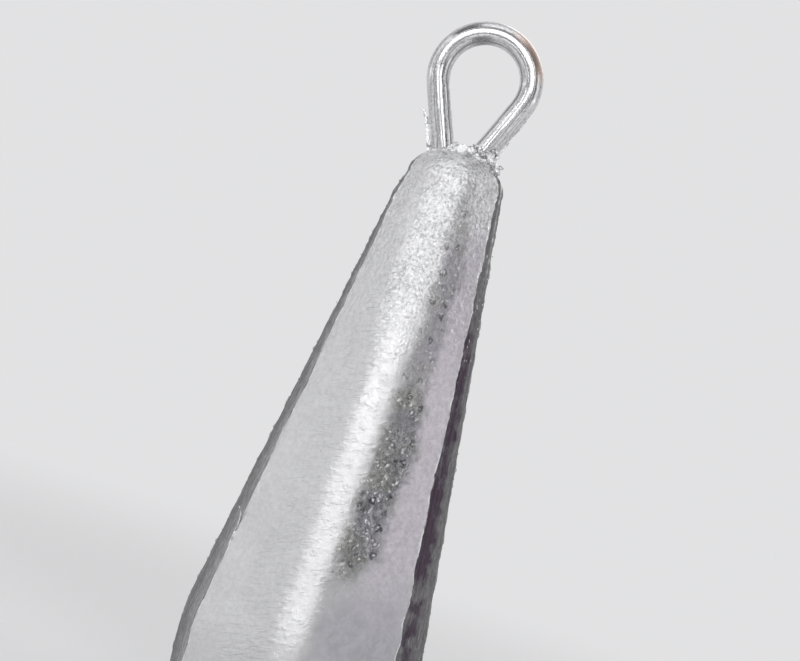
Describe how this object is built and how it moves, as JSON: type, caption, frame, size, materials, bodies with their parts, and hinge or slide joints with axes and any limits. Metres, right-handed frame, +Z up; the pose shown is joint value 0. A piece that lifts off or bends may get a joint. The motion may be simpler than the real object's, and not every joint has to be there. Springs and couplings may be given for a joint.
{
  "type": "fishing sinker",
  "caption": "Long faceted lead fishing sinker that tapers from a flat foot to a domed crown, with a drop-shaped wire eye cast in for the line.",
  "frame": {"origin": "middle of the flat base", "axes": "+Z up the sinker's axis towards the eye; the eye and the mould's parting line lie in the XZ plane; +Y and -Y face the two ridges"},
  "size_m": [0.021, 0.0196, 0.0644],
  "materials": {
    "lead": "satin",
    "steel_wire": "polished"
  },
  "bodies": {
    "root": {"lead_body": "lead", "wire_eye": "steel_wire"}
  },
  "joints": []
}
